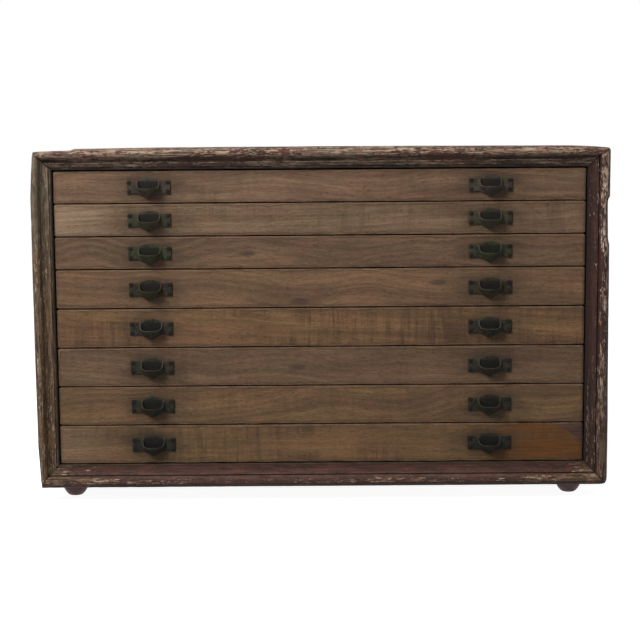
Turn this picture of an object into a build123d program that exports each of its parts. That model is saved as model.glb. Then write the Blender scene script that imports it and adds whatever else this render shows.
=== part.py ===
from build123d import *
import os

# A tabletop cabinet that holds eight type cases as drawers.
# Sizes are in millimetres. +X is the right-hand side as seen from the front, +Y the back, +Z up.
# The origin is on the floor, at the middle of the cabinet's whole footprint.

# Type cases: the sizes that everything else follows.
shallow_case_count = 3
deep_case_count = 5
shallow_front_height = 41.0
deep_front_height = 49.5
front_width = 682.5
front_thickness = 18.0
front_edge_chamfer = 0.8
case_length = 419.0  # from the face of the front to the rear of the back
gap_between_fronts = 1.4
gap_round_fronts = 1.5  # to the frame at both ends, above the top front and below the bottom one
front_proud = 5.0  # how far the fronts stand before the front edges of the cabinet's boards

# The tray behind each front.
case_side_thickness = 10.0
case_back_thickness = 10.0
case_bottom_thickness = 4.0
corner_rabbet_depth = 8.0  # how far a side enters the front
back_rabbet_depth = 4.0  # how far the back enters each side
bottom_rabbet_width = 5.0  # how far the bottom enters each side
bottom_groove_depth = 5.0  # how far the bottom enters the front

# Partitions that divide each tray into boxes for type.
bay_count = 3
bay_bar_thickness = 8.0
slat_thickness = 3.2
partition_recess = 3.0  # from the top of the tray down to the top of the slats
lap_clearance = 0.2
shallow_columns = 3
shallow_rows = 3
deep_columns = 2
deep_rows = 3

# Runners that carry the trays.
runner_width = 14.0
runner_height = 8.0
runner_front_clearance = 1.0  # from the back of a shut front
running_clearance = 0.3  # between a tray and its runners

# Boards of the cabinet.
board_thickness = 22.0
board_rabbet_depth = 8.0  # how far a side enters the top and bottom boards
clearance_behind_cases = 6.0
back_board_count = 3
back_board_thickness = 10.0
back_board_rabbet = 10.0  # how far the back boards lap onto the boards round them
shiplap_width = 8.0
shiplap_gap = 0.6

# Moulded frame round the front, mitred at its corners.
moulding_width = 29.0
moulding_depth = 20.0
fillet_width = 4.0  # flat step beside the drawers
fillet_depth = 7.5
cove_width = 9.0
cove_start_depth = 9.5
cove_end_depth = 12.5
cove_sag = 1.2
quirk_width = 1.4  # narrow groove beside the bead
quirk_depth = 10.5
bead_side_depth = 13.0  # where the round of the bead begins, on both sides
frame_corner_radius = 8.0

# Finger cups, two on each front.
pull_spacing = 438.0  # between the middles of the two cups
pull_drop = 0.5  # below the middle of the front
plate_width = 56.0
plate_height = 18.0
plate_thickness = 1.8
crest_width = 30.0
crest_rise = 3.5
toe_width = 28.0
toe_drop = 5.5
cup_radius = 15.0
cup_wall = 2.0
cup_tip_radius = 2.0
rim_dip = 1.5  # how far the rim's foremost point lies below its middle

# Turned feet.
foot_height = 27.0
foot_radius = 17.0
foot_base_radius = 10.0
foot_belly_height = 14.0
foot_neck_radius = 13.0
foot_inset = 35.0  # from the faces of the boards to the middle of a foot

# Sizes that follow.
front_heights = [shallow_front_height] * shallow_case_count + [deep_front_height] * deep_case_count
case_count = len(front_heights)
opening_width = front_width + 2 * gap_round_fronts
opening_height = sum(front_heights) + (case_count - 1) * gap_between_fronts + 2 * gap_round_fronts
board_width = opening_width + 2 * board_thickness
inner_depth = case_length - front_proud + clearance_behind_cases
board_depth = inner_depth + back_board_thickness
pull_reach = plate_thickness + cup_radius

# Planes of the cabinet.
front_reach = max(moulding_depth, front_proud + pull_reach)
board_front_y = (front_reach - board_depth) / 2
board_back_y = board_front_y + board_depth
back_board_y = board_front_y + inner_depth
front_face_y = board_front_y - front_proud
front_rear_y = front_face_y + front_thickness
tray_rear_y = front_face_y + case_length
opening_bottom = foot_height + board_thickness
opening_top = opening_bottom + opening_height
board_top = opening_top + board_thickness


def block(x, y, z):
    """A box between pairs of coordinates."""
    size = [high - low for low, high in (x, y, z)]
    middle = [(high + low) / 2 for low, high in (x, y, z)]
    return Pos(*middle) * Box(*size)


def both_sides(right):
    """A piece on the right and its mirror image on the left."""
    return [right, right.mirror(Plane.YZ)]


# ---------------------------------------------------------------- boards of the cabinet


def lid_board(inner_z, outer_z):
    """The top or bottom board: rabbeted at both ends for the sides and at the rear for the back."""
    towards_inside = 1 if inner_z > outer_z else -1
    rabbet_z = inner_z - towards_inside * board_rabbet_depth
    back_rabbet_z = inner_z - towards_inside * back_board_rabbet
    half = board_width / 2
    board = block((-half, half), (board_front_y, board_back_y), sorted((inner_z, outer_z)))
    for end in both_sides(
        block((opening_width / 2, half), (board_front_y, board_back_y), sorted((inner_z, rabbet_z)))
    ):
        board -= end
    half = opening_width / 2 + back_board_rabbet
    return board - block((-half, half), (back_board_y, board_back_y), sorted((inner_z, back_rabbet_z)))


def side_board():
    """The right-hand side, rabbeted at the rear for the back boards."""
    low, high = opening_bottom - board_rabbet_depth, opening_top + board_rabbet_depth
    inner_x = opening_width / 2
    board = block((inner_x, board_width / 2), (board_front_y, board_back_y), (low, high))
    return board - block((inner_x, inner_x + back_board_rabbet), (back_board_y, board_back_y), (low, high))


def back_boards():
    """Horizontal boards, shiplapped over each other and let into rabbets all round."""
    half = opening_width / 2 + back_board_rabbet
    low = opening_bottom - back_board_rabbet
    pitch = (opening_height + 2 * back_board_rabbet) / back_board_count
    middle_y = back_board_y + back_board_thickness / 2
    boards = []
    for i in range(back_board_count):
        z0, z1 = low + i * pitch, low + (i + 1) * pitch
        board = block((-half, half), (back_board_y, board_back_y), (z0, z1))
        if i > 0:
            board -= block((-half, half), (back_board_y, middle_y), (z0, z0 + shiplap_width + shiplap_gap))
        if i < back_board_count - 1:
            board += block((-half, half), (back_board_y, middle_y), (z1, z1 + shiplap_width))
            board -= block((-half, half), (middle_y, board_back_y), (z1 - shiplap_gap, z1))
        boards.append(board)
    return boards


# ---------------------------------------------------------------- moulded frame


def moulding_profile():
    """The moulding's section: x runs outwards from the drawers, y forwards from the boards."""
    cove_end = fillet_width + cove_width
    quirk_end = cove_end + quirk_width
    bead_middle = (quirk_end + moulding_width) / 2
    cove_middle = (
        (fillet_width + cove_end) / 2,
        (cove_start_depth + cove_end_depth) / 2 - cove_sag,
    )
    cove_start = (fillet_width, cove_start_depth)
    bead_inner = (quirk_end, bead_side_depth)
    bead_outer = (moulding_width, bead_side_depth)
    outline = [
        Polyline((0, 0), (0, fillet_depth), (fillet_width, fillet_depth), cove_start),
        ThreePointArc(cove_start, cove_middle, (cove_end, cove_end_depth)),
        Polyline((cove_end, cove_end_depth), (cove_end, quirk_depth), (quirk_end, quirk_depth), bead_inner),
        ThreePointArc(bead_inner, (bead_middle, moulding_depth), bead_outer),
        Polyline(bead_outer, (moulding_width, 0), (0, 0)),
    ]
    return make_face(outline)


def frame_member(inner_length, inner_middle, along):
    """One side of the frame, mitred at both ends. It runs along the given direction."""
    reach = inner_length / 2 + moulding_width
    bar = extrude(Plane.YZ * moulding_profile(), amount=reach, both=True)
    mitres = Polyline(
        (-inner_length / 2, 0),
        (inner_length / 2, 0),
        (reach, moulding_width),
        (-reach, moulding_width),
        close=True,
    )
    bar &= extrude(make_face(mitres), amount=moulding_depth)
    x, z = inner_middle
    return Plane(origin=(x, board_front_y, z), x_dir=along, z_dir=(0, -1, 0)) * bar


def frame_parts():
    middle_z = (opening_bottom + opening_top) / 2
    half = opening_width / 2
    members = {
        "frame_top": frame_member(opening_width, (0, opening_top), (1, 0, 0)),
        "frame_bottom": frame_member(opening_width, (0, opening_bottom), (-1, 0, 0)),
        "frame_right": frame_member(opening_height, (half, middle_z), (0, 0, -1)),
        "frame_left": frame_member(opening_height, (-half, middle_z), (0, 0, 1)),
    }
    outer_width = opening_width + 2 * moulding_width
    outer_height = opening_height + 2 * moulding_width
    outline = RectangleRounded(outer_width, outer_height, frame_corner_radius)
    rounded = extrude(Plane.XZ * outline, amount=moulding_depth)
    rounded = Pos(0, board_front_y, middle_z) * rounded
    return {name: member & rounded for name, member in members.items()}


# ---------------------------------------------------------------- feet and runners


def foot_places():
    x = board_width / 2 - foot_inset
    return [(sx * x, y) for y in (board_front_y + foot_inset, board_back_y - foot_inset) for sx in (-1, 1)]


def foot():
    """A turned bun foot, screwed up against the bottom board."""
    outline = Polyline(
        (0, 0),
        (foot_base_radius, 0),
        (foot_radius, foot_belly_height),
        (foot_neck_radius, foot_height),
        (0, foot_height),
        close=True,
    )
    return revolve(Plane.XZ * make_face(outline), Axis.Z)


def feet():
    return [Pos(x, y, 0) * foot() for x, y in foot_places()]


def runners():
    """The right-hand runners, one below each tray."""
    half = opening_width / 2
    length = (front_rear_y + runner_front_clearance, back_board_y)
    return [
        block((half - runner_width, half), length, (bottom, bottom + runner_height))
        for bottom, _ in front_places()
    ]


# ---------------------------------------------------------------- type cases


def front_places():
    """(bottom, top) of each front, the topmost first."""
    places = []
    top = opening_top - gap_round_fronts
    for height in front_heights:
        places.append((top - height, top))
        top -= height + gap_between_fronts
    return places


def case_front(bottom, top):
    """The front: rabbeted at both ends for the sides and grooved for the bottom."""
    half = front_width / 2
    front = block((-half, half), (front_face_y, front_rear_y), (bottom, top))
    front = chamfer(front.faces().sort_by(Axis.Y)[0].edges(), front_edge_chamfer)
    rabbet_y = (front_rear_y - corner_rabbet_depth, front_rear_y)
    rabbet = block((half - case_side_thickness, half), rabbet_y, (bottom, top))
    for end in both_sides(rabbet):
        front -= end
    tray_bottom = bottom + runner_height + running_clearance
    groove = block(
        (-half, half),
        (front_rear_y - bottom_groove_depth, front_rear_y),
        (tray_bottom, tray_bottom + case_bottom_thickness),
    )
    return front - groove


def case_side(bottom, top):
    """The right-hand side: rabbeted below for the bottom and at the rear for the back."""
    outer = front_width / 2
    inner = outer - case_side_thickness
    length = (front_rear_y - corner_rabbet_depth, tray_rear_y)
    back_y = (tray_rear_y - case_back_thickness, tray_rear_y)
    side = block((inner, outer), length, (bottom, top))
    side -= block((inner, inner + bottom_rabbet_width), length, (bottom, bottom + case_bottom_thickness))
    return side - block((inner, inner + back_rabbet_depth), back_y, (bottom, top))


def case_back(bottom, top):
    """The back, let into both sides. It stands on the bottom."""
    half = front_width / 2 - case_side_thickness + back_rabbet_depth
    back_y = (tray_rear_y - case_back_thickness, tray_rear_y)
    return block((-half, half), back_y, (bottom + case_bottom_thickness, top))


def case_bottom(bottom):
    """The thin bottom, from the groove in the front to the rear of the back."""
    half = front_width / 2 - case_side_thickness + bottom_rabbet_width
    length = (front_rear_y - bottom_groove_depth, tray_rear_y)
    return block((-half, half), length, (bottom, bottom + case_bottom_thickness))


def inner_tray():
    """The tray's inner half width, and the y of its inner faces at the front and the rear."""
    return front_width / 2 - case_side_thickness, front_rear_y, tray_rear_y - case_back_thickness


def bay_bounds():
    """(left, right) of each bay between the thick bars."""
    half, _, _ = inner_tray()
    width = (2 * half - (bay_count - 1) * bay_bar_thickness) / bay_count
    lefts = [-half + i * (width + bay_bar_thickness) for i in range(bay_count)]
    return [(left, left + width) for left in lefts]


def evenly(low, high, cells):
    """The middles of the slats that part a length into equal cells."""
    cell = (high - low - (cells - 1) * slat_thickness) / cells
    return [low + (i + 1) * cell + (i + 0.5) * slat_thickness for i in range(cells - 1)]


def partitions(floor, top, columns, rows):
    """Thick bars between the bays, and thin slats in each bay that are halved over one another."""
    _, front_y, rear_y = inner_tray()
    bays = bay_bounds()
    middle = (floor + top) / 2
    notch = slat_thickness / 2 + lap_clearance
    bars = [(bays[i][1], bays[i + 1][0]) for i in range(bay_count - 1)]
    pieces = [block(bar, (front_y, rear_y), (floor, top)) for bar in bars]
    for left, right in bays:
        column_x = evenly(left, right, columns)
        row_y = evenly(front_y, rear_y, rows)
        for x in column_x:
            slat = block((x - slat_thickness / 2, x + slat_thickness / 2), (front_y, rear_y), (floor, top))
            for y in row_y:
                slat -= block((left, right), (y - notch, y + notch), (middle, top))
            pieces.append(slat)
        for y in row_y:
            slat = block((left, right), (y - slat_thickness / 2, y + slat_thickness / 2), (floor, top))
            for x in column_x:
                slat -= block((x - notch, x + notch), (front_y, rear_y), (floor, middle + lap_clearance))
            pieces.append(slat)
    return pieces


# ---------------------------------------------------------------- finger cups


def pull_plate():
    """The back plate: a crest above, a pointed toe below, and an ear at each side."""
    half, crest, toe, ear = plate_width / 2, crest_width / 2, toe_width / 2, plate_height / 2
    top, crest_flat = ear + crest_rise, crest / 2
    outline = Polyline(
        (-half, -ear), (-toe, -ear), (0, -ear - toe_drop), (toe, -ear), (half, -ear), (half, ear),
        (crest, ear), (crest_flat, top), (-crest_flat, top), (-crest, ear), (-half, ear), close=True,
    )
    return extrude(Plane.XZ * make_face(outline), amount=plate_thickness)


def bowl(rim_radius, tip_radius, tip_z, top_z):
    """A bowl with a straight wall above the rim's foremost point and a tapering one below it."""
    outline = Polyline(
        (0, tip_z),
        (tip_radius, tip_z),
        (rim_radius, -rim_dip),
        (rim_radius, top_z),
        (0, top_z),
        close=True,
    )
    return revolve(Plane.XZ * make_face(outline), Axis.Z)


def cup():
    """The half cup that the fingers reach into from above, with its back on the plane y = 0.

    Seen from the side, its rim is an arc that sweeps up from the front to the top of the plate.
    """
    tip_z = -plate_height / 2 - toe_drop
    top_z = plate_height / 2
    inner_top = top_z + cup_wall
    shell = bowl(cup_radius, cup_tip_radius, tip_z, top_z)
    shell -= bowl(cup_radius - cup_wall, cup_tip_radius / 2, tip_z + 2 * cup_wall, inner_top)
    foremost, rim_end, middle = (-cup_radius, -rim_dip), (0, top_z), (-cup_radius / 2, 0)
    side_view = [
        ThreePointArc(foremost, middle, rim_end),
        Polyline(rim_end, (0, tip_z), (-cup_radius, tip_z), foremost),
    ]
    return shell & extrude(Plane.YZ * make_face(side_view), amount=cup_radius, both=True)


def cup_pull():
    """A finger cup on its plate, with the plate's back on the plane y = 0."""
    return pull_plate() + Pos(0, -plate_thickness, 0) * cup()


def pulls(bottom, top):
    z = (bottom + top) / 2 - pull_drop
    return [Pos(sign * pull_spacing / 2, front_face_y, z) * cup_pull() for sign in (-1, 1)]


def type_case(number, bottom, top, columns, rows):
    """The pieces of one type case, as a dictionary of node name and solids."""
    tray_bottom = bottom + runner_height + running_clearance
    floor = tray_bottom + case_bottom_thickness
    name = f"drawer_{number}_"
    return {
        name + "front": [case_front(bottom, top)],
        name + "sides": both_sides(case_side(tray_bottom, top)),
        name + "back": [case_back(tray_bottom, top)],
        name + "bottom": [case_bottom(tray_bottom)],
        name + "partitions": partitions(floor, top - partition_recess, columns, rows),
        name + "pulls": pulls(bottom, top),
    }


def cabinet():
    """Every node of the cabinet, as a dictionary of node name and solids."""
    right_runners = runners()
    parts = {
        "top_board": [lid_board(opening_top, board_top)],
        "bottom_board": [lid_board(opening_bottom, foot_height)],
        "right_side": [side_board()],
        "left_side": [side_board().mirror(Plane.YZ)],
        "back_boards": back_boards(),
        "runners_right": right_runners,
        "runners_left": [runner.mirror(Plane.YZ) for runner in right_runners],
        "feet": feet(),
    }
    parts.update({name: [member] for name, member in frame_parts().items()})
    for i, (bottom, top) in enumerate(front_places()):
        grid = (shallow_columns, shallow_rows) if i < shallow_case_count else (deep_columns, deep_rows)
        parts.update(type_case(i + 1, bottom, top, *grid))
    return parts


os.makedirs("parts", exist_ok=True)
for node, pieces in cabinet().items():
    solids = [solid for piece in pieces for solid in piece.solids()]
    export_step(Compound(solids) if len(solids) > 1 else solids[0], f"parts/{node}.step")
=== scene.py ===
import math

import bmesh
import bpy
import numpy as np
from mathutils import Matrix, Vector


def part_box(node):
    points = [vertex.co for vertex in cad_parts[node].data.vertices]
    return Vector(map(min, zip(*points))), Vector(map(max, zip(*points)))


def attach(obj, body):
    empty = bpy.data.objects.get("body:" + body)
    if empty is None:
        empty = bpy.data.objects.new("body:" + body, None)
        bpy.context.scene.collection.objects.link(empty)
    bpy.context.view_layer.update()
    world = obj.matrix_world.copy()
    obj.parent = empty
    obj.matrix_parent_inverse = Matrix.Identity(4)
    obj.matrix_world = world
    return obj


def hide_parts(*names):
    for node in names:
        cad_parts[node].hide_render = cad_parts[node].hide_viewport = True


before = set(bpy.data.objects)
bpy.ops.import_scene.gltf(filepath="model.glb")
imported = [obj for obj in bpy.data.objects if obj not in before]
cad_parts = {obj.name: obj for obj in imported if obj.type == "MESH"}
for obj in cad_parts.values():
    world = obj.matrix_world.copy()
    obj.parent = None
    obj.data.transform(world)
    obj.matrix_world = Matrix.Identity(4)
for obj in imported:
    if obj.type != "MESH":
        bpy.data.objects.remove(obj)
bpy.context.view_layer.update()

drawerNumbers = range(1, 9)
pullOffset = 0.219  # from the middle of a front to the middle of each finger cup


# small helpers for meshes

def mm(*values):
    scaled = [value / 1000 for value in values]
    return scaled[0] if len(scaled) == 1 else scaled


def boxOf(node):
    low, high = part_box(node)
    return np.array(low), np.array(high)


def link(piece):
    bpy.context.scene.collection.objects.link(piece)


def pieceFrom(name, points, faces, material=None):
    mesh = bpy.data.meshes.new(name)
    mesh.from_pydata([tuple(p) for p in points], [], faces)
    mesh.validate()
    if material:
        mesh.materials.append(material)
    piece = bpy.data.objects.new(name, mesh)
    link(piece)
    return piece


def smoothShading(piece, sharpAngle=40):
    mesh = piece.data
    mesh.polygons.foreach_set("use_smooth", [True] * len(mesh.polygons))
    mesh.set_sharp_from_angle(angle=math.radians(sharpAngle))


def pointsOf(mesh):
    flat = np.zeros(len(mesh.vertices) * 3)
    mesh.vertices.foreach_get("co", flat)
    return flat.reshape(-1, 3)


def setPoints(mesh, points):
    mesh.vertices.foreach_set("co", np.asarray(points, float).ravel())
    mesh.update()


def storeOnPoints(mesh, name, values):
    attribute = mesh.attributes.get(name) or mesh.attributes.new(name, "FLOAT", "POINT")
    attribute.data.foreach_set("value", np.asarray(values, float).ravel())


def lumps(points, coarse, fine, seed):
    # two sizes of lattice noise, the coarse one the stronger
    return latticeNoise(points, coarse, seed) * 0.6 + latticeNoise(points, fine, seed + 1) * 0.4


def readPoints(mesh, name):
    values = np.zeros(len(mesh.vertices))
    mesh.attributes[name].data.foreach_get("value", values)
    return values


def latticeNoise(points, scale, seed):
    # smooth values from -1 to 1, with the given cells to a metre along each axis
    spots = np.asarray(points, float) * np.asarray(scale, float)
    cell = np.floor(spots).astype(np.int64)
    part = spots - cell
    part = part * part * (3 - 2 * part)
    total = np.zeros(len(spots))
    for corner in np.ndindex(2, 2, 2):
        where = cell + corner
        mixed = where[:, 0] * 374761393 + where[:, 1] * 668265263 + where[:, 2] * 1440662683
        mixed = (mixed + seed * 1274126177) & 0xFFFFFFFF
        mixed = ((mixed ^ (mixed >> 13)) * 1103515245) & 0xFFFFFFFF
        mixed = mixed ^ (mixed >> 16)
        share = np.prod(np.where(np.array(corner) == 1, part, 1 - part), axis=1)
        total += share * ((mixed & 0xFFFF) / 32767.5 - 1)
    return total


def evaluatedMesh(piece):
    depsgraph = bpy.context.evaluated_depsgraph_get()
    return bpy.data.meshes.new_from_object(piece.evaluated_get(depsgraph))


def applied(piece):
    # swaps a piece's mesh for the one that its modifiers give, and takes them off
    mesh = evaluatedMesh(piece)
    piece.modifiers.clear()
    old = piece.data
    piece.data = mesh
    bpy.data.meshes.remove(old)
    return piece


# small helpers for node trees: they add to the tree that was started last

bench = dict(tree=None)


class Signal:
    # a node's output; each sum on it is one more Math node in the same tree
    def __init__(self, socket):
        self.socket = socket

    def __neg__(self):
        return maths("MULTIPLY", self, -1.0)


for sign, kind in dict(add="ADD", sub="SUBTRACT", mul="MULTIPLY", truediv="DIVIDE", pow="POWER").items():
    setattr(Signal, f"__{sign}__", lambda self, other, kind=kind: maths(kind, self, other))
    setattr(Signal, f"__r{sign}__", lambda self, other, kind=kind: maths(kind, other, self))


def plug(socket, value):
    if isinstance(value, Signal):
        bench["tree"].links.new(value.socket, socket)
    elif value is not None:
        socket.default_value = value


def addNode(kind, inputs=None, **settings):
    node = bench["tree"].nodes.new(kind)
    for name, value in settings.items():
        setattr(node, name, value)
    for key, value in (inputs or {}).items():
        plug(node.inputs[key], value)
    return node


def outOf(kind, inputs=None, output=0, **settings):
    return Signal(addNode(kind, inputs, **settings).outputs[output])


def signalsOf(node):
    return {socket.name: Signal(socket) for socket in node.outputs if socket.name}


def maths(operation, *values, clamp=False):
    return outOf("ShaderNodeMath", dict(enumerate(values)), operation=operation, use_clamp=clamp)


def vectorMaths(operation, a, b=None, scale=None):
    return outOf("ShaderNodeVectorMath", {0: a, 1: b, 3: scale}, operation=operation)


def noiseOf(vector, stretch, detail=3.0, roughness=0.55, distortion=0.0):
    return outOf("ShaderNodeTexNoise", {
        "Vector": vectorMaths("MULTIPLY", vector, stretch), "Scale": 1.0, "Detail": detail,
        "Roughness": roughness, "Distortion": distortion,
    })


def ramp(value, low, high, toLow=0.0, toHigh=1.0, kind="SMOOTHSTEP"):
    inputs = {"Value": value, "From Min": low, "From Max": high, "To Min": toLow, "To Max": toHigh}
    return outOf("ShaderNodeMapRange", inputs, interpolation_type=kind, clamp=True)


def blend(share, a, b, how="MIX"):
    # lays colour b over colour a; a chart colour is three numbers
    a, b = (tone(*c) if isinstance(c, tuple) else c for c in (a, b))
    return outOf("ShaderNodeMix", {0: share, 6: a, 7: b}, 2, data_type="RGBA", blend_type=how)


def xyz(vector):
    return [Signal(socket) for socket in addNode("ShaderNodeSeparateXYZ", {0: vector}).outputs]


def fromXyz(x, y, z):
    return outOf("ShaderNodeCombineXYZ", {0: x, 1: y, 2: z})


def attributeOf(name):
    return outOf("ShaderNodeAttribute", output="Fac", attribute_name=name)


def startGroup(name, inputs, kind="ShaderNodeTree"):
    # an input is given by the value of a number socket, or by the word for another kind of socket
    tree = bench["tree"] = bpy.data.node_groups.new(name, kind)
    for label, value in inputs.items():
        word = value if isinstance(value, str) else "Float"
        socket = tree.interface.new_socket(label, in_out="INPUT", socket_type="NodeSocket" + word)
        if word != value:
            socket.default_value = value
    return signalsOf(tree.nodes.new("NodeGroupInput"))


def finishGroup(kind="Float", **outputs):
    tree = bench["tree"]
    for label in outputs:
        tree.interface.new_socket(label, in_out="OUTPUT", socket_type="NodeSocket" + kind)
    ends = tree.nodes.new("NodeGroupOutput").inputs
    for label, value in outputs.items():
        plug(ends[label], value)
    return tree


def useGroup(group, **inputs):
    return signalsOf(addNode("ShaderNodeGroup", inputs, node_tree=group))


def tone(red, green, blue):
    # a colour as a paint chart gives it, 0 to 255, as Blender's linear colour
    linear = [((v / 255 + 0.055) / 1.055) ** 2.4 if v > 10 else v / 255 / 12.92 for v in (red, green, blue)]
    return (*linear, 1.0)


# shader groups for wood, paint, iron and dirt

def makeWoodGrain():
    # wood with its grain along X: broad bands, fine streaks and open pores
    given = startGroup("woodGrain", {"Vector": "Vector", "Seed": 0.0, "Figure": 0.3})
    offset = fromXyz(given["Seed"] * 3.17, given["Seed"] * 1.73, given["Seed"] * 2.31)
    placed = vectorMaths("ADD", given["Vector"], offset)
    sway = noiseOf(placed, (5, 9, 9), 2.0) - 0.5
    sway = sway * (given["Figure"] * 0.05 + 0.008)
    swayed = vectorMaths("ADD", placed, fromXyz(0.0, sway, sway))
    bands = noiseOf(swayed, (1.7, 48, 48), 4.0, 0.6)
    rings = xyz(swayed)[2] * 700.0 + bands * 11.0
    rings = maths("SINE", rings) * 0.5 + 0.5
    mixed = rings * (given["Figure"] * 0.4 + 0.12)
    shade = maths("ADD", ramp(bands, 0.3, 0.7, 0.0, 0.8), mixed, clamp=True)
    streak = ramp(noiseOf(swayed, (9, 420, 420), 7.0, 0.72), 0.3, 0.7, kind="LINEAR")
    pore = ramp(noiseOf(swayed, (150, 2400, 2400), 2.0), 0.6, 0.7)
    height = streak * 0.6 + rings * 0.2 - pore * 0.6
    return finishGroup(Tone=shade, Streak=streak, Pore=pore, Height=height)


def makeSawChatter():
    # uneven marks that a coarse saw leaves straight across the grain
    given = startGroup("sawChatter", {"Vector": "Vector", "Seed": 0.0})
    placed = vectorMaths("ADD", given["Vector"], fromXyz(given["Seed"], given["Seed"], 0.0))
    bars = ramp(noiseOf(placed, (75, 10, 10), 2.0, 0.5, 0.4), 0.46, 0.6)
    fine = ramp(noiseOf(placed, (330, 16, 16), 3.0, 0.6), 0.42, 0.62)
    patch = ramp(noiseOf(placed, (6, 20, 20), 2.0), 0.4, 0.56, 0.15, 1.0)
    mark = bars * 0.7 + fine * 0.45
    return finishGroup(Mark=maths("MULTIPLY", mark, patch, clamp=True), Patch=patch)


def makePullGrime():
    # dirt from hands and rust round the two finger cups of a front
    given = startGroup("pullGrime", {"Vector": "Vector", "Level": 0.0, "Seed": 0.0, "Spread": 1.0})
    x, _, z = xyz(given["Vector"])
    aside = maths("ABSOLUTE", x) - pullOffset
    above = z - given["Level"]
    placed = vectorMaths("ADD", given["Vector"], fromXyz(given["Seed"], 0.0, given["Seed"]))
    ragged = noiseOf(placed, (26, 60, 60), 4.0, 0.6) - 0.5
    wide = aside / (given["Spread"] * 0.05)
    tall = above / (given["Spread"] * 0.024)
    away = maths("SQRT", wide ** 2 + tall ** 2)
    away = ragged * 1.3 + away
    return finishGroup(Grime=ramp(away, 1.5, 0.5), Rust=ramp(away, 0.95, 0.45))


def makeEdgeWear():
    # rubbed arrises and the dirt beside them, from the distance to a board's nearest edge
    given = startGroup("edgeWear", {"Vector": "Vector", "Width": 0.002})
    edge = attributeOf("edge")
    ragged = noiseOf(given["Vector"], (45, 45, 45), 5.0, 0.65) - 0.5
    shifted = ragged * (given["Width"] * 6.0) + edge
    return finishGroup(
        Rubbed=ramp(shifted, given["Width"], 0.0),
        Dirty=ramp(shifted, given["Width"] * 3.2, given["Width"]),
    )


def makePaintFlake():
    # two coats of old paint that come off in flakes drawn out along X, and open cracks in the wood
    given = startGroup("paintFlake", {
        "Vector": "Vector", "Cover": 0.5, "Undercoat": 0.5, "Loss": 0.0, "Seed": 0.0,
    })
    placed = vectorMaths("ADD", given["Vector"], fromXyz(given["Seed"], 0.0, given["Seed"]))
    broad = noiseOf(placed, (7, 26, 26), 3.0) - 0.5
    flakes = noiseOf(placed, (70, 280, 280), 5.0, 0.65, 0.3) - 0.5
    chips = noiseOf(placed, (190, 620, 620), 4.0, 0.65) - 0.5
    held = broad + chips * 0.9 + flakes + (given["Cover"] - 0.5) * 0.6 - given["Loss"]
    top = ramp(held, -0.012, 0.012)
    shifted = vectorMaths("ADD", placed, (3.0, 5.0, 7.0))
    patches = noiseOf(shifted, (120, 400, 400), 5.0, 0.7) - 0.5
    kept = patches * 1.2 + broad * 0.5 + (given["Undercoat"] - 0.5) * 0.6
    under = ramp(kept, -0.015, 0.015)
    patch = ramp(noiseOf(shifted, (45, 150, 150), 4.0, 0.6), 0.43, 0.57)
    crack = ramp(noiseOf(placed, (26, 800, 800), 4.0, 0.6), 0.53, 0.6)
    rim = ramp(held, -0.06, 0.0) * ramp(held, 0.06, 0.0)
    height = under * 0.45 + top + chips * 0.9 - crack * (1.0 - top)
    return finishGroup(Top=top, Under=under, Patch=patch, Crack=crack, Rim=rim, Height=height)


def makeIronCorrosion():
    # brown rust in blotches, green grey patina in smaller spots, and a pitted casting skin
    given = startGroup("ironCorrosion", {"Vector": "Vector", "Seed": 0.0})
    placed = vectorMaths("ADD", given["Vector"], fromXyz(given["Seed"], given["Seed"], 0.0))
    return finishGroup(
        Rust=ramp(noiseOf(placed, (130, 130, 130), 5.0, 0.62), 0.47, 0.6),
        Patina=ramp(noiseOf(placed, (260, 260, 300), 4.0, 0.65), 0.5, 0.6),
        Pits=noiseOf(placed, (900, 900, 900), 4.0, 0.6),
    )


def makeSettledDust():
    # dust on what faces upwards
    given = startGroup("settledDust", {"Vector": "Vector", "Amount": 0.4})
    normal = outOf("ShaderNodeNewGeometry", output="Normal")
    upward = ramp(xyz(normal)[2], 0.55, 0.98)
    clumps = ramp(noiseOf(given["Vector"], (55, 55, 55), 5.0, 0.62), 0.3, 0.72)
    dust = upward * clumps
    return finishGroup(Dust=maths("MULTIPLY", dust, given["Amount"], clamp=True))


woodGrain = makeWoodGrain()
sawChatter = makeSawChatter()
pullGrime = makePullGrime()
edgeWear = makeEdgeWear()
paintFlake = makePaintFlake()
ironCorrosion = makeIronCorrosion()
settledDust = makeSettledDust()
print("shader groups ready")


def startMaterial(name, turn=(0, 0, 0)):
    # a material whose vector is turned so that the grain runs along X
    material = bpy.data.materials.new(name)
    material.use_nodes = True
    bench["tree"] = material.node_tree
    place = outOf("ShaderNodeTexCoord", output="Object")
    if any(turn):
        place = outOf("ShaderNodeMapping", {"Vector": place, "Rotation": [math.radians(a) for a in turn]})
    return material, place


def dusted(colour, place, amount, shade):
    return blend(useGroup(settledDust, Vector=place, Amount=amount)["Dust"], colour, shade)


def finishMaterial(colour, roughness, height, depth, strength, specular=None, metallic=None):
    shader = bench["tree"].nodes["Principled BSDF"].inputs
    bump = outOf("ShaderNodeBump", {"Height": height, "Strength": strength, "Distance": depth})
    for label, value in (
        ("Base Color", colour), ("Roughness", roughness), ("Normal", bump),
        ("Specular IOR Level", specular), ("Metallic", metallic),
    ):
        plug(shader[label], value)


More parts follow.
